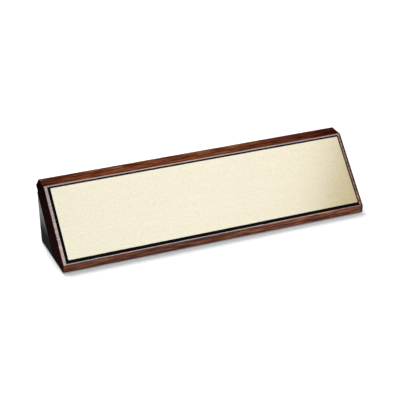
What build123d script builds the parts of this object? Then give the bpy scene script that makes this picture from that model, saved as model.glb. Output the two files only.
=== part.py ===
# A desk name plate: a walnut board leans back against a black wedge, and carries a bevelled
# two-ply engraving plate on its front. Board and wedge are dowelled together, the plate is
# held by two strips of tape, and four thin rubber feet stand the whole on a desk.
# Millimetres. X runs along the board, the front looks towards -Y, and Z is up.
# The origin is on the desk, under the middle of the object.

import math
import os

from build123d import *

# Engraving plate, 2 by 8 inches of sixteenth-inch laminate
plate_length = 203.2
plate_height = 50.8
plate_thickness = 1.6
face_ply_thickness = 0.2
bevel_width = 1.4

# Tape behind the plate
tape_thickness = 0.3
tape_width = 12.0
tape_end_inset = 6.0
tape_edge_inset = 5.0

# Walnut board, three-quarter inch stock
board_thickness = 19.05
end_margin = 2.4
edge_margin = 0.7
lean_angle = 49.5
top_chamfer = 7.9
bottom_chamfer = 3.7
board_edge_radius = 0.6

# Black wedge behind the board
board_overhang = 5.0
wedge_top_flat = 1.6
wedge_edge_radius = 0.4

# Dowels across the joint
dowel_diameter = 6.0
dowel_length = 20.0
dowel_end_chamfer = 0.8
dowel_spacing = 70.0
dowel_count = 3
dowel_clearance = 0.1
dowel_end_gap = 0.5

# Rubber feet under the base
foot_diameter = 10.0
foot_thickness = 1.0
foot_chamfer = 0.3
foot_end_inset = 16.0
foot_back_inset = 9.0

# Sizes that follow
board_length = plate_length + 2 * end_margin
face_height = plate_height + 2 * edge_margin
board_width = face_height + top_chamfer
core_thickness = plate_thickness - face_ply_thickness
bevel_share = bevel_width / plate_thickness
bevel_angle = math.degrees(math.atan(bevel_share))
lean = math.radians(lean_angle)


def section_shift(up, inward):
    """How far back and up a point lies from the lower edge of the board's face."""
    return (
        up * math.cos(lean) + inward * math.sin(lean),
        up * math.sin(lean) - inward * math.cos(lean),
    )


# The lower edge of the face: its height follows from the chamfer that the base cuts off, and its
# place puts the origin midway between the plate's lower shoulder and the board's top back edge.
front_reach, _ = section_shift(edge_margin + bevel_width, -tape_thickness - plate_thickness)
back_reach, _ = section_shift(board_width, board_thickness)
_, chamfer_drop = section_shift(-bottom_chamfer, bottom_chamfer)
face_foot_y = -(front_reach + back_reach) / 2
face_foot_z = foot_thickness - chamfer_drop


def section_point(up, inward):
    """A point of the cross-section, up along the board's face and inward from it."""
    back, height = section_shift(up, inward)
    return (face_foot_y + back, face_foot_z + height)


# Corners of the cross-section
front_foot = section_point(-bottom_chamfer, bottom_chamfer)
face_foot = section_point(0, 0)
face_top = section_point(face_height, 0)
ridge = section_point(board_width, top_chamfer)
back_top = section_point(board_width, board_thickness)
joint_length = (back_top[1] - foot_thickness) / math.sin(lean)
joint_foot = section_point(board_width - joint_length, board_thickness)
joint_top = section_point(board_width - board_overhang, board_thickness)
wedge_back_y = joint_top[0] + wedge_top_flat
wedge_base = wedge_back_y - joint_foot[0]

# The plane of the face, seen from the front with its middle as origin
face_middle = section_point(face_height / 2, 0)
face_normal = (0, -math.sin(lean), math.cos(lean))
face_plane = Plane(origin=(0, *face_middle), x_dir=(1, 0, 0), z_dir=face_normal)
face_axis = Axis((0, *face_middle), face_normal)

# The plane of the joint, at the height where the wedge is thickest, square to its lower back edge
dowel_up = wedge_base * math.cos(lean)
dowel_middle = section_point(board_width - joint_length + dowel_up, board_thickness)
joint_normal = (0, math.sin(lean), -math.cos(lean))
joint_plane = Plane(origin=(0, *dowel_middle), x_dir=(1, 0, 0), z_dir=joint_normal)
dowel_hole_radius = dowel_diameter / 2 + dowel_clearance
dowel_hole_depth = dowel_length / 2 + dowel_end_gap

os.makedirs("parts", exist_ok=True)


def save(piece, label):
    """Names a finished piece and writes it under its name."""
    piece.part.label = label
    export_step(piece.part, f"parts/{label}.step")


# Walnut board: the profile of a moulding, run along X, with its front edges and the ends of its
# joint face eased
with BuildPart() as board:
    with BuildSketch(Plane.YZ):
        with BuildLine():
            Polyline(front_foot, face_foot, face_top, ridge, back_top, joint_foot, close=True)
        make_face()
    extrude(amount=board_length / 2, both=True)
    front_arrises = board.edges().filter_by(Axis.X).sort_by(face_axis)[2:]
    end_arrises = ShapeList()
    for end in board.faces().filter_by(Axis.X):
        end_edges = end.edges().sort_by(face_axis)
        end_arrises += end_edges[:1] + end_edges[3:]
    fillet(front_arrises + end_arrises, radius=board_edge_radius)
    with BuildSketch(joint_plane):
        with GridLocations(dowel_spacing, 0, dowel_count, 1):
            Circle(dowel_hole_radius)
    extrude(amount=-dowel_hole_depth, mode=Mode.SUBTRACT)
save(board, "walnut_board")

# Black wedge: upright back, flat base, a narrow flat along the top instead of a sharp edge, and
# eased ends on its joint face, so that a fine groove marks the joint
with BuildPart() as wedge:
    with BuildSketch(Plane.YZ):
        with BuildLine():
            Polyline(
                joint_foot,
                joint_top,
                (wedge_back_y, joint_top[1]),
                (wedge_back_y, foot_thickness),
                close=True,
            )
        make_face()
    extrude(amount=board_length / 2, both=True)
    wedge_arrises = wedge.faces().sort_by(Axis.Y)[-1].edges()
    for end in wedge.faces().filter_by(Axis.X):
        wedge_arrises += end.edges().sort_by(face_axis)[-1:]
    fillet(wedge_arrises, radius=wedge_edge_radius)
    with BuildSketch(joint_plane):
        with GridLocations(dowel_spacing, 0, dowel_count, 1):
            Circle(dowel_hole_radius)
    extrude(amount=dowel_hole_depth, mode=Mode.SUBTRACT)
save(wedge, "support_block")

# Dowels: half their length in the board and half in the wedge
with BuildPart() as dowels:
    with BuildSketch(joint_plane):
        with GridLocations(dowel_spacing, 0, dowel_count, 1):
            Circle(dowel_diameter / 2)
    extrude(amount=dowel_length / 2, both=True)
    chamfer(dowels.edges().filter_by(GeomType.CIRCLE), length=dowel_end_chamfer)
save(dowels, "joint_dowels")

# Tape: one strip along the upper edge of the plate and one along the lower
tape_length = plate_length - 2 * tape_end_inset
tape_shift = plate_height / 2 - tape_edge_inset - tape_width / 2
for label, shift in (("tape_upper", tape_shift), ("tape_lower", -tape_shift)):
    with BuildPart() as tape:
        with BuildSketch(face_plane):
            with Locations((0, shift)):
                Rectangle(tape_length, tape_width)
        extrude(amount=tape_thickness)
    save(tape, label)

# Black core of the plate, its edges bevelled all round
with BuildPart() as core:
    with BuildSketch(face_plane.offset(tape_thickness)):
        Rectangle(plate_length, plate_height)
    extrude(amount=core_thickness, taper=bevel_angle)
save(core, "plate_core")

# Gold ply on the core, which carries the same bevel on to the front
core_top_inset = core_thickness * bevel_share
with BuildPart() as face_ply:
    with BuildSketch(face_plane.offset(tape_thickness + core_thickness)):
        Rectangle(plate_length - 2 * core_top_inset, plate_height - 2 * core_top_inset)
    extrude(amount=face_ply_thickness, taper=bevel_angle)
save(face_ply, "plate_face")

# Rubber feet: one pair under the board's base, one pair under the back of the wedge
foot_x = board_length / 2 - foot_end_inset
foot_front_y = (front_foot[0] + joint_foot[0]) / 2
foot_back_y = wedge_back_y - foot_back_inset
for row, foot_y in (("front", foot_front_y), ("back", foot_back_y)):
    for side, x in (("left", -foot_x), ("right", foot_x)):
        with BuildPart() as foot:
            with BuildSketch():
                with Locations((x, foot_y)):
                    Circle(foot_diameter / 2)
            extrude(amount=foot_thickness)
            chamfer(foot.faces().sort_by(Axis.Z)[0].edges(), length=foot_chamfer)
        save(foot, f"foot_{row}_{side}")
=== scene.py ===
# %% [markdown]
# # A desk name plate, finished for its picture
# The object is a walnut board that leans back on a black wedge and carries a thin plate with a
# satin gold face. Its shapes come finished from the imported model, at their real size, so this lesson
# is about looks: a camera, a small studio, and one procedural finish for each real material.
# Lengths are in metres, X runs along the board, the front looks towards -Y, and Z is up.

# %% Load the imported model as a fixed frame
import math

import bpy
from mathutils import Matrix, Quaternion, Vector


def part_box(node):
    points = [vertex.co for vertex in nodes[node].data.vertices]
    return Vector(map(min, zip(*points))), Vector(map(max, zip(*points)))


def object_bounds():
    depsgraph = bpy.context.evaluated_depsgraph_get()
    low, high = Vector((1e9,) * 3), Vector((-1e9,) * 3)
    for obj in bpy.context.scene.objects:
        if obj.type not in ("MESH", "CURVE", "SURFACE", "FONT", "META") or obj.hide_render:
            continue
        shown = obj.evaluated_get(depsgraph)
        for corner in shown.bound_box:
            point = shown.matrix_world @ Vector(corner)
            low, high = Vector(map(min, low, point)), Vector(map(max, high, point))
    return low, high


millimetre = 0.001

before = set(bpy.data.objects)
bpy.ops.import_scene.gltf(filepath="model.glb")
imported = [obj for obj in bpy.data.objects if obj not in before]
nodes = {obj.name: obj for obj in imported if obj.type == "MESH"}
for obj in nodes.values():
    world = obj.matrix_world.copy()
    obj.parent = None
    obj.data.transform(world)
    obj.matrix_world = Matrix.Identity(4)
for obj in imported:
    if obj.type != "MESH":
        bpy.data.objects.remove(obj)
cad_low, cad_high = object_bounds()
bpy.ops.object.select_all(action="DESELECT")
print("pieces:", ", ".join(sorted(nodes)))
print("size in mm:", [round(side / millimetre, 1) for side in cad_high - cad_low])

# %% [markdown]
# ## Camera
# A product picture of a long, low thing is taken from a little to one side and from above, through a
# long lens, so that its parallel edges stay nearly parallel. A camera can be turned by hand until
# it fits. Here it is placed by what a photographer would note down: how far round, how high and how
# far away it stands, how much it is tilted sideways, and where its axis passes the object's middle.

# %% Place the camera
camera_turn = math.radians(20.84)
camera_climb = math.radians(23.93)
camera_roll = math.radians(-2.085)
camera_distance = 0.807
axis_offset_right = -2.02 * millimetre
axis_offset_up = -3.49 * millimetre
focal_length_mm = 111.07
sensor_width_mm = 36.0

object_middle = (cad_low + cad_high) / 2
look = Vector((
    math.sin(camera_turn) * math.cos(camera_climb),
    math.cos(camera_turn) * math.cos(camera_climb),
    -math.sin(camera_climb),
))
level_right = Vector((math.cos(camera_turn), -math.sin(camera_turn), 0))
level_up = level_right.cross(look)
right = math.cos(camera_roll) * level_right + math.sin(camera_roll) * level_up
up = math.cos(camera_roll) * level_up - math.sin(camera_roll) * level_right
aim = object_middle + axis_offset_right * right + axis_offset_up * up

bpy.ops.object.camera_add(location=aim - camera_distance * look)
camera = bpy.context.object
camera.name = "product_camera"
camera.rotation_euler = Matrix((right, up, -look)).transposed().to_euler()
camera.data.sensor_width = sensor_width_mm
camera.data.lens = focal_length_mm
bpy.context.scene.camera = camera
bpy.context.scene.view_settings.view_transform = "Standard"
print("camera at", [round(part, 4) for part in camera.location])

# %% [markdown]
# ## Helpers for node trees
# Every finish below is a tree of nodes. Wiring nodes by hand takes three lines each, so a few small
# helpers do it: one adds a node and fills or links its inputs, the others wrap the nodes that are
# used most. A value may be a number, a colour, or the output of another node.

# %% Add and connect nodes
def connect(tree, value, socket):
    """Links an output to the socket, or writes a plain value into it."""
    if isinstance(value, bpy.types.NodeSocket):
        tree.links.new(value, socket)
    else:
        socket.default_value = value


def add_node(tree, kind, inputs, **options):
    """A node of this kind, with its options set and its inputs filled by name or by number."""
    node = tree.nodes.new(kind)
    for name, option in options.items():
        setattr(node, name, option)
    for name, value in inputs.items():
        connect(tree, value, node.inputs[name])
    return node


# %% Calculate with numbers and vectors
def calculate(tree, operation, *values, clamp=True):
    """The result of a Math node, kept between 0 and 1 unless clamp is off."""
    inputs = dict(enumerate(values))
    node = add_node(tree, "ShaderNodeMath", inputs, operation=operation, use_clamp=clamp)
    return node.outputs["Value"]


def calculate_vector(tree, operation, *vectors):
    """The outputs of a Vector Math node: Vector, or Value for a length or a dot product."""
    inputs = dict(enumerate(vectors))
    return add_node(tree, "ShaderNodeVectorMath", inputs, operation=operation).outputs


def parts_of(tree, vector):
    """The X, Y and Z of a vector."""
    return add_node(tree, "ShaderNodeSeparateXYZ", {"Vector": vector}).outputs


def in_mm(*lengths):
    """Lengths that are given in millimetres."""
    return tuple(millimetre * length for length in lengths)


# %% Spread, mix and colour values
def spread(tree, value, levels, results=(0.0, 1.0)):
    """Stretches the range between two levels over a range of results, and clips what lies outside."""
    low, high = levels
    low_result, high_result = results
    inputs = {
        "Value": value,
        "From Min": low,
        "From Max": high,
        "To Min": low_result,
        "To Max": high_result,
    }
    return add_node(tree, "ShaderNodeMapRange", inputs).outputs["Result"]


# A Mix node has sockets for every kind of value. These are the numbers of its share and its colours.
mix_share, mix_first, mix_second, mix_result = 0, 6, 7, 2


def mix_colours(tree, share, first, second, blend_type="MIX"):
    """The first colour, with the second laid over it by a share or a mask."""
    inputs = {mix_share: share, mix_first: first, mix_second: second}
    node = add_node(tree, "ShaderNodeMix", inputs, data_type="RGBA", blend_type=blend_type)
    return node.outputs[mix_result]


def colour(red, green, blue):
    """An opaque colour."""
    return (red, green, blue, 1.0)


# %% Make noise and relief
def noise(tree, place, scale, detail):
    """The value of a noise texture."""
    inputs = {"Vector": place, "Scale": scale, "Detail": detail}
    return add_node(tree, "ShaderNodeTexNoise", inputs).outputs["Fac"]


def grain(tree, place, size, detail):
    """Noise whose grains are about this long, wide and high."""
    scale = [1 / length for length in size]
    stretched = add_node(tree, "ShaderNodeMapping", {"Vector": place, "Scale": scale}).outputs["Vector"]
    return noise(tree, stretched, 1.0, detail)


def bump(tree, height, strength, depth):
    """A normal that leans with the height, for relief too fine to model."""
    inputs = {"Height": height, "Strength": strength, "Distance": depth}
    return add_node(tree, "ShaderNodeBump", inputs).outputs["Normal"]


# %% [markdown]
# ## Table and light
# The object stands on a pale table, and in the picture all round it is white. A table could be lit
# until it burns out, but then the object burns out too. So the table is a pale diffuse sheet that
# takes the object's shadow, and it glows besides, only where the camera or a reflection looks at it.
# The glow is faint near the object, stronger to its left and under it, and full far away.

# %% Lay the table
table_size = 12.0

bpy.ops.mesh.primitive_plane_add(size=table_size)
table = bpy.context.object
table.name = "table"
print("table", table_size, "m square")


# %% Work out how much the table glows
def seen(tree):
    """1 where the camera, a reflection or a view through glass looks, and 0 for light on its way."""
    rays = tree.nodes.new("ShaderNodeLightPath").outputs
    looked_at = calculate(tree, "ADD", rays["Is Camera Ray"], rays["Is Glossy Ray"])
    return calculate(tree, "ADD", looked_at, rays["Is Transmission Ray"])


near_radius, far_radius = 0.35, 1.30
near_glow, far_glow = 0.045, 1.0
left_glow = 0.30
left_levels = in_mm(-100, -112)
under_glow = 0.15
front_blur = 0.8 * millimetre
back_blur = 10 * millimetre

board_low, board_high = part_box("walnut_board")
front_edge_levels = (board_low[1] - front_blur, board_low[1] + front_blur)
back_edge_levels = (board_high[1], board_high[1] - back_blur)

white_table = bpy.data.materials.new("white_table")
white_table.use_nodes = True
tree = white_table.node_tree
tree.nodes.clear()
spot = tree.nodes.new("ShaderNodeTexCoord").outputs["Object"]
spot_parts = parts_of(tree, spot)
reach = calculate_vector(tree, "LENGTH", spot)["Value"]
glow_here = spread(tree, reach, (near_radius, far_radius), (near_glow, far_glow))
glow_left = spread(tree, spot_parts["X"], left_levels, (0.0, left_glow))
glow_here = calculate(tree, "ADD", glow_here, glow_left)
behind_front = spread(tree, spot_parts["Y"], front_edge_levels, (0.0, under_glow))
before_back = spread(tree, spot_parts["Y"], back_edge_levels)
glow_below = calculate(tree, "MULTIPLY", behind_front, before_back)
glow_here = calculate(tree, "ADD", glow_here, glow_below)
glow_strength = calculate(tree, "MULTIPLY", seen(tree), glow_here)
print("the table's glow grows from", near_glow, "to", far_glow)

# %% [markdown]
# Light and glow are added up as two shaders. Seen from below the sheet is clear, so that the
# underside of the object can be looked at through it.

# %% Make the table's sheet
table_colour = colour(0.880, 0.888, 0.868)

sheet = add_node(tree, "ShaderNodeBsdfDiffuse", {"Color": table_colour}).outputs["BSDF"]
glow = add_node(tree, "ShaderNodeEmission", {"Strength": glow_strength}).outputs["Emission"]
lit_sheet = add_node(tree, "ShaderNodeAddShader", {0: sheet, 1: glow}).outputs["Shader"]
clear = tree.nodes.new("ShaderNodeBsdfTransparent").outputs["BSDF"]
from_below = tree.nodes.new("ShaderNodeNewGeometry").outputs["Backfacing"]
both_sides = add_node(tree, "ShaderNodeMixShader", {0: from_below, 1: lit_sheet, 2: clear})
add_node(tree, "ShaderNodeOutputMaterial", {"Surface": both_sides.outputs["Shader"]})
table.data.materials.append(white_table)
print("white table:", len(tree.nodes), "nodes")

# %% [markdown]
# The room gives the fill light. A plain grey world would shine the same from every side and flatten
# the object. A real studio is dim at eye level and brighter overhead, so the light here grows from
# the walls to the ceiling. The camera and every reflection see plain white in its place.

# %% Light the room
wall_light, ceiling_light = 0.08, 0.50
wall_top, ceiling_edge = 0.60, 0.98
white = 1.0

studio = bpy.data.worlds.new("studio")
studio.use_nodes = True
bpy.context.scene.world = studio
tree = studio.node_tree
background = tree.nodes["Background"].inputs
direction = tree.nodes.new("ShaderNodeTexCoord").outputs["Generated"]
height = parts_of(tree, direction)["Z"]
room_light = spread(tree, height, (wall_top, ceiling_edge), (wall_light, ceiling_light))
strength = spread(tree, seen(tree), (0.0, 1.0), (room_light, white))
tree.links.new(strength, background["Strength"])
background["Color"].default_value = colour(white, white, white)
print("the room's light grows from", wall_light, "to", ceiling_light)

# %% [markdown]
# Two soft boxes do the rest. The first hangs in front and above, where the leaning front mirrors it
# into the lens: it makes the gold shine and puts a pale sheen on the lacquered rim. It is turned in
# its own plane, so that its mirrored edge crosses the plate's right end, and it is a little cool.
# The second is overhead, a little behind, and narrow from left to right. It throws the short soft
# shadow that lies along the front edge.

# %% Hang the soft boxes
box_distance = 1.0
box_axis = (0, 0, 1)


def hang_soft_box(name, way, size, turn, watts, tint):
    """A lamp that hangs this way from the object's middle, faces it, and is turned in its plane."""
    way = Vector(way).normalized()
    bpy.ops.object.light_add(type="AREA", location=object_middle + box_distance * way)
    lamp = bpy.context.object
    lamp.name = name
    facing = way.to_track_quat("Z", "Y") @ Quaternion(box_axis, turn)
    lamp.rotation_euler = facing.to_euler()
    lamp.data.shape = "RECTANGLE"
    lamp.data.size, lamp.data.size_y = size
    lamp.data.energy = watts
    lamp.data.color = tint
    print(name, watts, "W")


hang_soft_box(
    "front_soft_box",
    way=(0.263, -0.53, 0.78),
    size=(0.68, 0.46),
    turn=math.radians(46.5),
    watts=4.75,
    tint=(0.95, 1.0, 1.08),
)
hang_soft_box(
    "top_soft_box",
    way=(-0.09, 0.46, 0.88),
    size=(0.22, 0.80),
    turn=0.0,
    watts=10.5,
    tint=(1.0, 1.0, 1.0),
)

# %% [markdown]
# ## Shared effects
# Some effects turn up in several finishes, so each is built once as a node group and used with
# other values wherever it is needed. A group starts with its list of inputs and outputs.

# %% Start and use a node group
def new_group(name, inputs, outputs):
    """An empty shader group, with what it is given and the sockets for what it makes."""
    group = bpy.data.node_groups.new(name, "ShaderNodeTree")
    for socket_name, kind in inputs.items():
        group.interface.new_socket(socket_name, in_out="INPUT", socket_type="NodeSocket" + kind)
    for socket_name, kind in outputs.items():
        group.interface.new_socket(socket_name, in_out="OUTPUT", socket_type="NodeSocket" + kind)
    start = group.nodes.new("NodeGroupInput")
    end = group.nodes.new("NodeGroupOutput")
    return group, start.outputs, end.inputs


def use_group(tree, group, inputs):
    """What a group makes when it is placed in this tree."""
    return add_node(tree, "ShaderNodeGroup", inputs, node_tree=group).outputs


# %% [markdown]
# ### Timber
# Wood is a solid: the same growth rings show as long lines along a board and as arcs on its ends. A
# picture of planks would break at the edges, so the figure is worked out in space. Rings are
# cylinders round the middle of the trunk, a line along X whose place each finish chooses. They are
# bent by a slow noise. Streaks, fibres and pores are noise stretched along the trunk.

# %% Build the timber group
bend_size = in_mm(120, 22, 22)
bend_depth = in_mm(0, 10, 10)
bend_middle = (0.5, 0.5, 0.5)
streak_size = in_mm(60, 2.2, 2.2)
fibre_size = in_mm(12, 0.75, 0.75)
pore_size = in_mm(5, 0.35, 0.35)
pore_levels = (0.60, 0.72)

timber, given, made = new_group(
    "timber",
    {"Place": "Vector", "Trunk": "Vector", "Ring Scale": "Float"},
    {"Rings": "Float", "Streaks": "Float", "Fibres": "Float", "Pores": "Float"},
)
from_trunk = calculate_vector(timber, "SUBTRACT", given["Place"], given["Trunk"])["Vector"]
bend = grain(timber, given["Place"], bend_size, detail=1.0)
centred_bend = calculate_vector(timber, "SUBTRACT", bend, bend_middle)["Vector"]
bent = calculate_vector(timber, "MULTIPLY_ADD", centred_bend, bend_depth, from_trunk)["Vector"]
rings = add_node(
    timber,
    "ShaderNodeTexWave",
    {"Vector": bent, "Scale": given["Ring Scale"], "Distortion": 0.0},
    wave_type="RINGS",
    rings_direction="X",
    wave_profile="SAW",
)
streaks = grain(timber, given["Place"], streak_size, detail=3.0)
fibres = grain(timber, given["Place"], fibre_size, detail=2.0)
pores = spread(timber, grain(timber, given["Place"], pore_size, detail=1.0), pore_levels)
timber.links.new(rings.outputs["Fac"], made["Rings"])
timber.links.new(streaks, made["Streaks"])
timber.links.new(fibres, made["Fibres"])
timber.links.new(pores, made["Pores"])
print("timber group:", len(timber.nodes), "nodes")

# %% [markdown]
# ### Worn edges
# Handling rubs a finish thin along its edges. The Bevel node gives the normal that a rounded edge
# would have: where it leans away from the true normal, there is an edge. A noise breaks the line
# up, because wear is never even.

# %% Build the worn edge group
edge_levels = (0.995, 0.90)
rubbed_levels = (0.40, 0.62)

worn_edge, given, made = new_group(
    "worn_edge",
    {"Place": "Vector", "Reach": "Float", "Patch Size": "Float"},
    {"Wear": "Float"},
)
rounded = add_node(worn_edge, "ShaderNodeBevel", {"Radius": given["Reach"]}, samples=6).outputs["Normal"]
true_normal = worn_edge.nodes.new("ShaderNodeNewGeometry").outputs["True Normal"]
likeness = calculate_vector(worn_edge, "DOT_PRODUCT", rounded, true_normal)["Value"]
edge = spread(worn_edge, likeness, edge_levels)
patch_scale = calculate(worn_edge, "DIVIDE", 1.0, given["Patch Size"], clamp=False)
patches = noise(worn_edge, given["Place"], patch_scale, detail=4.0)
rubbed = spread(worn_edge, patches, rubbed_levels)
worn_edge.links.new(calculate(worn_edge, "MULTIPLY", edge, rubbed), made["Wear"])
print("worn edge group:", len(worn_edge.nodes), "nodes")

# %% [markdown]
# ### Uneven surface
# No coat of lacquer and no moulded plastic is perfectly even. Cloudy patches make it shine a little
# more here and less there, a fine ripple, the orange peel of a sprayed coat, breaks up reflections,
# and a few specks of dust are caught in it.

# %% Build the uneven surface group
speck_levels = (0.10, 0.04)

uneven, given, made = new_group(
    "uneven_surface",
    {"Place": "Vector", "Cloud Scale": "Float", "Ripple Scale": "Float"},
    {"Clouds": "Float", "Ripple": "Float", "Specks": "Float"},
)
clouds = noise(uneven, given["Place"], given["Cloud Scale"], detail=4.0)
ripple = noise(uneven, given["Place"], given["Ripple Scale"], detail=1.0)
speck_inputs = {"Vector": given["Place"], "Scale": given["Ripple Scale"]}
from_speck = add_node(uneven, "ShaderNodeTexVoronoi", speck_inputs).outputs["Distance"]
uneven.links.new(clouds, made["Clouds"])
uneven.links.new(ripple, made["Ripple"])
uneven.links.new(spread(uneven, from_speck, speck_levels), made["Specks"])
print("uneven surface group:", len(uneven.nodes), "nodes")

# %% [markdown]
# ### Joint line
# Where board and wedge meet, their edges are eased, and the fine groove between them is darkened as
# painted shade. The group measures how far a point lies from the plane of the joint, which goes through
# the lower front edge of the wedge and leans as the board does, and darkens a line at the ends.

# %% Build the joint line group
board_lean = math.radians(49.5)
groove_reach = 1.5 * millimetre
groove_core = 0.6 * millimetre
groove_depth = 0.8 * millimetre
groove_mouth = 0.4 * millimetre

wedge_low, wedge_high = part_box("support_block")
wedge_end = wedge_high[0]
joint_foot = (0.0, wedge_low[1], wedge_low[2])
joint_direction = (0.0, math.sin(board_lean), -math.cos(board_lean))

joint_line, given, made = new_group("joint_line", {"Place": "Vector"}, {"Joint Shade": "Float"})
from_foot = calculate_vector(joint_line, "SUBTRACT", given["Place"], joint_foot)["Vector"]
away = calculate_vector(joint_line, "DOT_PRODUCT", from_foot, joint_direction)["Value"]
distance = calculate(joint_line, "ABSOLUTE", away)
near_joint = spread(joint_line, distance, (groove_reach, groove_core))
from_middle = calculate(joint_line, "ABSOLUTE", parts_of(joint_line, given["Place"])["X"])
near_end = spread(joint_line, from_middle, (wedge_end - groove_depth, wedge_end - groove_mouth))
joint_line.links.new(calculate(joint_line, "MULTIPLY", near_joint, near_end), made["Joint Shade"])
print("joint through", [round(part / millimetre, 2) for part in joint_foot], "mm")

# %% [markdown]
# ## Finishes
# Each finish is one material. It starts with a Principled shader and the coordinates of its object,
# and ends by going on to the pieces that are made of it. What is the same all over, such as the
# roughness of a clear coat, is set on the shader itself.

# %% Start and use a finish
def new_finish(name, constants):
    """A material, its tree, its shader with the constant values set, and its coordinates."""
    finish = bpy.data.materials.new(name)
    finish.use_nodes = True
    tree = finish.node_tree
    shader = tree.nodes["Principled BSDF"].inputs
    for socket_name, value in constants.items():
        shader[socket_name].default_value = value
    coordinates = tree.nodes.new("ShaderNodeTexCoord").outputs
    return finish, tree, shader, coordinates


def dress(finish, *names):
    """Puts a finish on these pieces."""
    for name in names:
        for slot in nodes[name].material_slots:
            slot.material = finish
    print(finish.name, "on", ", ".join(names))


# %% [markdown]
# ### Walnut under satin lacquer
# The board is American walnut under a clear satin lacquer. A picture of veneer could be wrapped
# round it, but it would break at every edge, so the wood is cut out of a solid trunk by the timber
# group. The finish first finds out where a point lies and which way it faces, because the front, the
# moulded edges and the ends of the board all look different.

# %% Start the walnut
front_direction = (0.0, -math.sin(board_lean), math.cos(board_lean))
end_levels = (0.30, 0.75)

walnut, tree, shader, coordinates = new_finish(
    "walnut",
    {"Coat Roughness": 0.18, "Coat IOR": 1.68, "Specular IOR Level": 0.0},
)
place = coordinates["Object"]
place_parts = parts_of(tree, place)
normal_parts = parts_of(tree, coordinates["Normal"])
facing_up = normal_parts["Z"]
facing_end = calculate(tree, "ABSOLUTE", normal_parts["X"])
facing_front = calculate_vector(tree, "DOT_PRODUCT", coordinates["Normal"], front_direction)["Value"]
end_mask = spread(tree, facing_end, end_levels)
print("the front faces", [round(part, 3) for part in front_direction])

# %% [markdown]
# Walnut has a red-brown ground with darker late wood in each ring, paler and darker streaks, short
# flecks of both kinds, and dark pores as thin as a hair. On the ends the fibres are cut across, so
# the flecks are weaker there.

# %% Lay the figure
walnut_trunk = in_mm(0, 55, -40)
walnut_rings = 75.0
ground = colour(0.131, 0.0300, 0.0108)
late_wood = colour(0.060, 0.0130, 0.0050)
late_levels = (0.25, 1.0)
pale_streak = colour(0.168, 0.053, 0.0212)
pale_streak_levels = (0.50, 0.72)
dark_streak_levels = (0.46, 0.30)
dark_fleck = colour(0.038, 0.0078, 0.0034)
dark_fleck_levels = (0.51, 0.61)
dark_fleck_share = 0.9
pale_fleck = colour(0.245, 0.087, 0.038)
pale_fleck_levels = (0.47, 0.37)
pale_fleck_share = 0.8
end_fleck_share = 0.35
pore_colour = colour(0.030, 0.009, 0.005)
pore_share = 0.8

wood = use_group(tree, timber, {"Place": place, "Trunk": walnut_trunk, "Ring Scale": walnut_rings})
surface = mix_colours(tree, spread(tree, wood["Rings"], late_levels), ground, late_wood)
surface = mix_colours(tree, spread(tree, wood["Streaks"], pale_streak_levels), surface, pale_streak)
surface = mix_colours(tree, spread(tree, wood["Streaks"], dark_streak_levels), surface, late_wood)
fleck_strength = spread(tree, end_mask, (0.0, 1.0), (1.0, end_fleck_share))
for fleck, levels, share in (
    (dark_fleck, dark_fleck_levels, dark_fleck_share),
    (pale_fleck, pale_fleck_levels, pale_fleck_share),
):
    flecks = spread(tree, wood["Fibres"], levels, (0.0, share))
    flecks = calculate(tree, "MULTIPLY", flecks, fleck_strength)
    surface = mix_colours(tree, flecks, surface, fleck)
pore_mask = calculate(tree, "MULTIPLY", wood["Pores"], pore_share)
surface = mix_colours(tree, pore_mask, surface, pore_colour)
print("walnut figure:", len(tree.nodes), "nodes")

# %% [markdown]
# The walnut is darker at the top towards both ends, but not on the flat front at the right: this is
# painted shade. It is paler near the base, more so to the right: this is painted light. The ends are
# very dark, partly as end grain that drinks up the lacquer and partly as painted shade. A tint that
# multiplies the colour keeps the figure and changes only its tone.

# %% Paint shade at the top, light near the base, and darken the ends
top_shade_tint = colour(0.32, 0.16, 0.20)
top_shade_height = in_mm(30, 45)
top_shade_right = in_mm(28, 96)
top_shade_left = in_mm(-73, -98)
top_shade_left_share = 0.7
flat_front_levels = (0.97, 0.995)
base_light_tint = colour(1.62, 1.62, 1.62)
base_light_height = in_mm(20, 10)
base_light_right = in_mm(0, 60)
base_light_left_share = 0.5
end_grain_and_shade_tint = colour(0.15, 0.22, 0.50)

flat_front = spread(tree, facing_front, flat_front_levels)
# Painted shade: the top is darkened towards both ends, but not on the flat front at the right.
at_right = spread(tree, place_parts["X"], top_shade_right)
at_right = calculate(tree, "SUBTRACT", at_right, flat_front)
at_left = spread(tree, place_parts["X"], top_shade_left, (0.0, top_shade_left_share))
near_top = spread(tree, place_parts["Z"], top_shade_height)
top_shade_mask = calculate(tree, "MULTIPLY", calculate(tree, "ADD", at_right, at_left), near_top)
surface = mix_colours(tree, top_shade_mask, surface, top_shade_tint, "MULTIPLY")
# Painted light: near the base the walnut is made paler, more so towards the right.
towards_right = spread(tree, place_parts["X"], base_light_right, (base_light_left_share, 1.0))
near_base = spread(tree, place_parts["Z"], base_light_height)
base_light_mask = calculate(tree, "MULTIPLY", towards_right, near_base)
surface = mix_colours(tree, base_light_mask, surface, base_light_tint, "MULTIPLY")
# The ends are darkened, partly as real end grain and partly as painted shade.
surface = mix_colours(tree, end_mask, surface, end_grain_and_shade_tint, "MULTIPLY")
print("with its tones:", len(tree.nodes), "nodes")

# %% [markdown]
# Handling rubs the edges pale in patches. The rest is painted light and shade: a painted highlight
# runs along the upper edge of the front, the outer right end of the rim is darkened as painted shade,
# the flat front is made paler as a painted sheen, and the joint at the back is darkened as painted
# shade.

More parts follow.
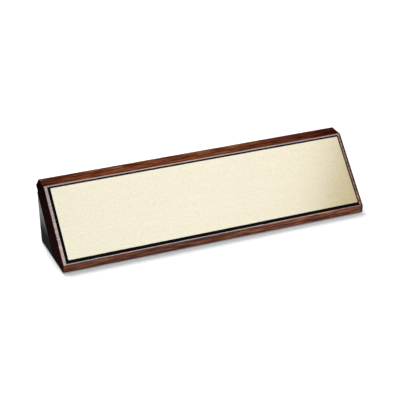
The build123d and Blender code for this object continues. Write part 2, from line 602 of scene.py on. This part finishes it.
# %% Wear the walnut and paint its sheen, highlight and shade
rubbed_colour = colour(0.24, 0.115, 0.065)
rubbed_share = 0.22
walnut_wear = {"Place": place, "Reach": 0.9 * millimetre, "Patch Size": 12 * millimetre}
front_sheen_tint = colour(1.55, 1.90, 1.50)
rim_shade_tint = colour(0.52, 0.42, 0.45)
rim_shade_levels = in_mm(102.1, 102.9)
arris_highlight = colour(0.50, 0.36, 0.31)
arris_front_levels = (0.998, 0.97)
arris_moulding_levels = (0.72, 0.80)
arris_highlight_levels = (0.65, 0.75)
arris_highlight_share = 0.6
joint_shade_colour = colour(0.0015, 0.0012, 0.0012)

wear = use_group(tree, worn_edge, walnut_wear)["Wear"]
wear_mask = calculate(tree, "MULTIPLY", wear, rubbed_share)
surface = mix_colours(tree, wear_mask, surface, rubbed_colour)
# Painted shade: the outer right end of the rim is darkened.
rim_shade_end = spread(tree, place_parts["X"], rim_shade_levels)
# Painted sheen: the flat front, short of its darkened right end, is made paler.
front_sheen_mask = calculate(tree, "SUBTRACT", flat_front, rim_shade_end)
surface = mix_colours(tree, front_sheen_mask, surface, front_sheen_tint, "MULTIPLY")
surface = mix_colours(tree, rim_shade_end, surface, rim_shade_tint, "MULTIPLY")
# Painted highlight: a pale line along the upper edge of the front, where it faces up.
off_moulding = spread(tree, facing_front, arris_moulding_levels)
off_front = spread(tree, facing_front, arris_front_levels)
arris = calculate(tree, "MULTIPLY", off_moulding, off_front)
arris_highlight_mask = spread(tree, facing_up, arris_highlight_levels, (0.0, arris_highlight_share))
surface = mix_colours(tree, calculate(tree, "MULTIPLY", arris, arris_highlight_mask), surface, arris_highlight)
# Painted shade: the joint at the back is darkened.
joint_shade = use_group(tree, joint_line, {"Place": place})["Joint Shade"]
surface = mix_colours(tree, joint_shade, surface, joint_shade_colour)
tree.links.new(surface, shader["Base Color"])
print("with its wear:", len(tree.nodes), "nodes")

# %% [markdown]
# The lacquer is a clear coat, which puts a pale sheen on the front while the wood below keeps its
# colour. It is cloudy, it lies thin on the mouldings, thinnest where they face up, and it is missing
# from the ends and from the right end of the rim, which is darkened as painted shade. The open grain
# shows through it as a fine relief.

# %% Lacquer the walnut
cloud_levels = (0.3, 0.7)
walnut_clouds = 45.0
walnut_roughness = (0.34, 0.46)
front_coat = (0.90, 1.0)
moulding_coat = (0.27, 0.01)
moulding_levels = (0.75, 0.97)
rounded_end_levels = (0.05, 0.35)
open_grain = {"strength": 0.12, "depth": 0.1 * millimetre}

coat = use_group(tree, uneven, {"Place": place, "Cloud Scale": walnut_clouds})
tree.links.new(spread(tree, coat["Clouds"], cloud_levels, walnut_roughness), shader["Roughness"])
coat_weight = spread(tree, coat["Clouds"], cloud_levels, front_coat)
coat_weight = calculate(tree, "SUBTRACT", coat_weight, end_mask)
thin_coat = spread(tree, facing_up, (0.0, 1.0), moulding_coat)
coat_share = spread(tree, facing_front, moulding_levels, (thin_coat, 1.0))
coat_weight = calculate(tree, "MULTIPLY", coat_weight, coat_share)
bare_end = calculate(tree, "MAXIMUM", spread(tree, facing_end, rounded_end_levels), rim_shade_end)
coat_weight = calculate(tree, "MULTIPLY", coat_weight, calculate(tree, "SUBTRACT", 1.0, bare_end))
tree.links.new(coat_weight, shader["Coat Weight"])
sunk_grain = calculate(tree, "SUBTRACT", wood["Fibres"], wood["Pores"])
tree.links.new(bump(tree, sunk_grain, **open_grain), shader["Normal"])
dress(walnut, "walnut_board")

# %% [markdown]
# ### Black lacquer
# The wedge behind is plain wood under black lacquer. A plain black would do for a picture from
# afar, but close up the black is a little purple and cloudy, the grain of the wood shows faintly
# through it, dust is caught in it, and its edges are rubbed to a dark grey.

# %% Colour the black lacquer
deep_black = colour(0.0085, 0.0055, 0.0095)
cloudy_black = colour(0.0135, 0.0095, 0.0145)
grain_black = colour(0.021, 0.017, 0.021)
grain_levels = (0.35, 0.65)
grain_share = 0.6
dust_colour = colour(0.026, 0.025, 0.026)
rubbed_black = colour(0.035, 0.031, 0.029)
rubbed_black_share = 0.5
wedge_trunk = in_mm(0, -30, -60)
wedge_rings = 60.0
lacquer_clouds = 60.0
lacquer_ripple = 900.0

black_lacquer, tree, shader, coordinates = new_finish(
    "black_lacquer",
    {"Specular IOR Level": 0.0, "Coat IOR": 1.28, "Coat Roughness": 0.30},
)
place = coordinates["Object"]
lacquer_wear = {"Place": place, "Reach": 0.8 * millimetre, "Patch Size": 9 * millimetre}
coat = use_group(
    tree, uneven, {"Place": place, "Cloud Scale": lacquer_clouds, "Ripple Scale": lacquer_ripple}
)
wood = use_group(tree, timber, {"Place": place, "Trunk": wedge_trunk, "Ring Scale": wedge_rings})
wear = use_group(tree, worn_edge, lacquer_wear)["Wear"]
black = mix_colours(tree, coat["Clouds"], deep_black, cloudy_black)
grain_tone = spread(tree, wood["Fibres"], grain_levels, (0.0, grain_share))
black = mix_colours(tree, grain_tone, black, grain_black)
black = mix_colours(tree, coat["Specks"], black, dust_colour)
wear_mask = calculate(tree, "MULTIPLY", wear, rubbed_black_share)
black = mix_colours(tree, wear_mask, black, rubbed_black)
tree.links.new(black, shader["Base Color"])
print("black lacquer:", len(tree.nodes), "nodes")

# %% [markdown]
# A black shows little but what it mirrors, so the coat matters more than the colour. The spray left
# hardly any near the base, most at half height, a little less again near the top, and none along the
# joint, which is kept dark as painted shade. The grain and a fine orange peel stand in it as relief.

# %% Spray the black lacquer
spray_levels = in_mm(11, 23.5)
spray_range = (0.05, 0.62)
top_levels = in_mm(30, 41)
top_share = 0.65
grain_gloss = (1.15, 0.80)
lacquer_roughness = (0.42, 0.52)
ripple_share = 0.4
lacquer_relief = {"strength": 0.12, "depth": 0.1 * millimetre}

height = parts_of(tree, place)["Z"]
sprayed = spread(tree, height, spray_levels, spray_range)
sprayed = calculate(tree, "MULTIPLY", sprayed, spread(tree, height, top_levels, (1.0, top_share)))
gloss = spread(tree, wood["Fibres"], grain_levels, grain_gloss)
sprayed = calculate(tree, "MULTIPLY", sprayed, gloss)
# Painted shade: the coat is left off along the joint, to keep it dark.
joint_shade = use_group(tree, joint_line, {"Place": place})["Joint Shade"]
tree.links.new(calculate(tree, "SUBTRACT", sprayed, joint_shade), shader["Coat Weight"])
tree.links.new(spread(tree, coat["Clouds"], cloud_levels, lacquer_roughness), shader["Roughness"])
sunk_grain = calculate(tree, "SUBTRACT", wood["Fibres"], wood["Pores"])
relief = mix_colours(tree, ripple_share, sunk_grain, coat["Ripple"])
tree.links.new(bump(tree, relief, **lacquer_relief), shader["Normal"])
dress(black_lacquer, "support_block")

# %% [markdown]
# ### Gold face
# The face of the plate is a thin ply of gold-coloured foil under a satin clear coat. A metal shader
# would mirror the whole white room and turn too pale and too even. The foil is a coloured film with
# only a touch of metal: finely mottled, faintly brushed along its length, and a little warmer
# towards its right end.

# %% Colour the foil
mottle_size = in_mm(0.65, 0.65, 0.65)
mottle_levels = (0.30, 0.70)
dull_gold = colour(0.430, 0.340, 0.138)
bright_gold = colour(0.530, 0.440, 0.212)
brush_size = in_mm(30, 0.25, 0.25)
brush_levels = (0.45, 0.80)
brush_share = 0.3
brushed_gold = colour(0.59, 0.50, 0.29)
warm_tint = colour(0.98, 0.935, 0.885)
warm_levels = in_mm(10, 95)

gold, tree, shader, coordinates = new_finish(
    "satin_gold",
    {"Metallic": 0.1, "Coat Roughness": 0.146, "Coat IOR": 1.8, "Specular IOR Level": 0.0},
)
place = coordinates["Object"]
along = parts_of(tree, place)["X"]
mottle = spread(tree, grain(tree, place, mottle_size, detail=2.0), mottle_levels)
tone = mix_colours(tree, mottle, dull_gold, bright_gold)
brush = grain(tree, place, brush_size, detail=2.0)
tone = mix_colours(tree, spread(tree, brush, brush_levels, (0.0, brush_share)), tone, brushed_gold)
tone = mix_colours(tree, spread(tree, along, warm_levels), tone, warm_tint, "MULTIPLY")
print("gold foil:", len(tree.nodes), "nodes")

# %% [markdown]
# The foil stops short of the cut edge, and black shows as a narrow border round it. The border could
# be a piece of its own, but it has no thickness, so it is a mask: the distance to the nearest edge,
# measured along the plate and up its slope. The foil lies a little to the left, so its border is
# narrower there.

# %% Stop the foil short of the edge and coat it
up_direction = Vector((0.0, math.cos(board_lean), math.sin(board_lean)))
foil_shift = 0.15 * millimetre
border_levels = in_mm(0.45, 0.55)
border_black = colour(0.005, 0.005, 0.006)
foil_clouds = 30.0
foil_roughness = (0.56, 0.64)
brush_relief = {"strength": 0.06, "depth": 0.05 * millimetre}

foil_low, foil_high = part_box("plate_face")
lowest = Vector(foil_low).dot(up_direction)
highest = Vector(foil_high).dot(up_direction)
rise = calculate_vector(tree, "DOT_PRODUCT", place, up_direction)["Value"]
off_centre = calculate(tree, "ADD", along, foil_shift, clamp=False)
from_middle = calculate(tree, "ABSOLUTE", off_centre)
to_end = calculate(tree, "SUBTRACT", foil_high[0] + foil_shift, from_middle)
to_foot = calculate(tree, "SUBTRACT", rise, lowest)
to_top = calculate(tree, "SUBTRACT", highest, rise)
to_edge = calculate(tree, "MINIMUM", to_end, calculate(tree, "MINIMUM", to_foot, to_top))
foil_mask = spread(tree, to_edge, border_levels)
tree.links.new(mix_colours(tree, foil_mask, border_black, tone), shader["Base Color"])
tree.links.new(foil_mask, shader["Coat Weight"])
foil = use_group(tree, uneven, {"Place": place, "Cloud Scale": foil_clouds})
tree.links.new(spread(tree, foil["Clouds"], cloud_levels, foil_roughness), shader["Roughness"])
tree.links.new(bump(tree, brush, **brush_relief), shader["Normal"])
dress(gold, "plate_face")

# %% [markdown]
# ### Black core
# Under the gold the plate is black plastic, and the cutter that bevels its edge lays it bare. The cut
# leaves the plastic dull, with fine marks. Like the rubber and the tape below it is one plain colour
# that varies a little, so one helper makes all three from the uneven surface group.

# %% Start plain finishes and make the core
def make_plain(name, specular, scales, tone_by, tones, roughness, relief):
    """A finish of one uneven colour, with a cloudy shine and a fine ripple."""
    finish, tree, shader, coordinates = new_finish(name, {"Specular IOR Level": specular})
    cloud_scale, ripple_scale = scales
    skin = use_group(
        tree,
        uneven,
        {"Place": coordinates["Object"], "Cloud Scale": cloud_scale, "Ripple Scale": ripple_scale},
    )
    first_tone, second_tone = tones
    tree.links.new(mix_colours(tree, skin[tone_by], first_tone, second_tone), shader["Base Color"])
    tree.links.new(spread(tree, skin["Clouds"], cloud_levels, roughness), shader["Roughness"])
    tree.links.new(bump(tree, skin["Ripple"], **relief), shader["Normal"])
    return finish


core = make_plain(
    "cut_black_core",
    specular=0.0,
    scales=(90.0, 2500.0),
    tone_by="Ripple",
    tones=(colour(0.003, 0.003, 0.0035), colour(0.008, 0.008, 0.009)),
    roughness=(0.65, 0.85),
    relief={"strength": 0.15, "depth": 0.05 * millimetre},
)
dress(core, "plate_core")

# %% [markdown]
# ### Hidden finishes
# Rubber feet, tape and beech dowels hardly show. One grey for all of them would do for the picture,
# but anyone who takes the object apart finds them, so each has its own finish. Rubber is dull and
# finely pitted, and tape is a milky plastic.

# %% Make the rubber and the tape
rubber = make_plain(
    "black_rubber",
    specular=0.3,
    scales=(400.0, 3000.0),
    tone_by="Clouds",
    tones=(colour(0.012, 0.012, 0.012), colour(0.030, 0.030, 0.029)),
    roughness=(0.70, 0.88),
    relief={"strength": 0.25, "depth": 0.08 * millimetre},
)
feet = [f"foot_{row}_{side}" for row in ("front", "back") for side in ("left", "right")]
dress(rubber, *feet)

tape = make_plain(
    "milky_tape",
    specular=0.4,
    scales=(200.0, 1500.0),
    tone_by="Clouds",
    tones=(colour(0.62, 0.60, 0.54), colour(0.72, 0.71, 0.66)),
    roughness=(0.45, 0.60),
    relief={"strength": 0.1, "depth": 0.05 * millimetre},
)
dress(tape, "tape_upper", "tape_lower")

# %% [markdown]
# Dowels are turned from beech, a pale wood with fine, even rings. They use the timber group again,
# with the trunk's middle at the origin and a bare, dull surface.

# %% Make the beech
beech_trunk = in_mm(0, 0, 0)
beech_rings = 160.0
early_beech = colour(0.50, 0.29, 0.14)
late_beech = colour(0.42, 0.22, 0.10)
pale_beech = colour(0.56, 0.35, 0.19)
beech_streak_levels = (0.45, 0.75)
beech_fibre_levels = (0.3, 0.7)
beech_roughness = (0.60, 0.75)
beech_relief = {"strength": 0.2, "depth": 0.1 * millimetre}

beech, tree, shader, coordinates = new_finish("turned_beech", {"Specular IOR Level": 0.3})
place = coordinates["Object"]
wood = use_group(tree, timber, {"Place": place, "Trunk": beech_trunk, "Ring Scale": beech_rings})
pale = mix_colours(tree, wood["Rings"], early_beech, late_beech)
pale = mix_colours(tree, spread(tree, wood["Streaks"], beech_streak_levels), pale, pale_beech)
tree.links.new(pale, shader["Base Color"])
tree.links.new(spread(tree, wood["Fibres"], beech_fibre_levels, beech_roughness), shader["Roughness"])
tree.links.new(bump(tree, wood["Fibres"], **beech_relief), shader["Normal"])
dress(beech, "joint_dowels")
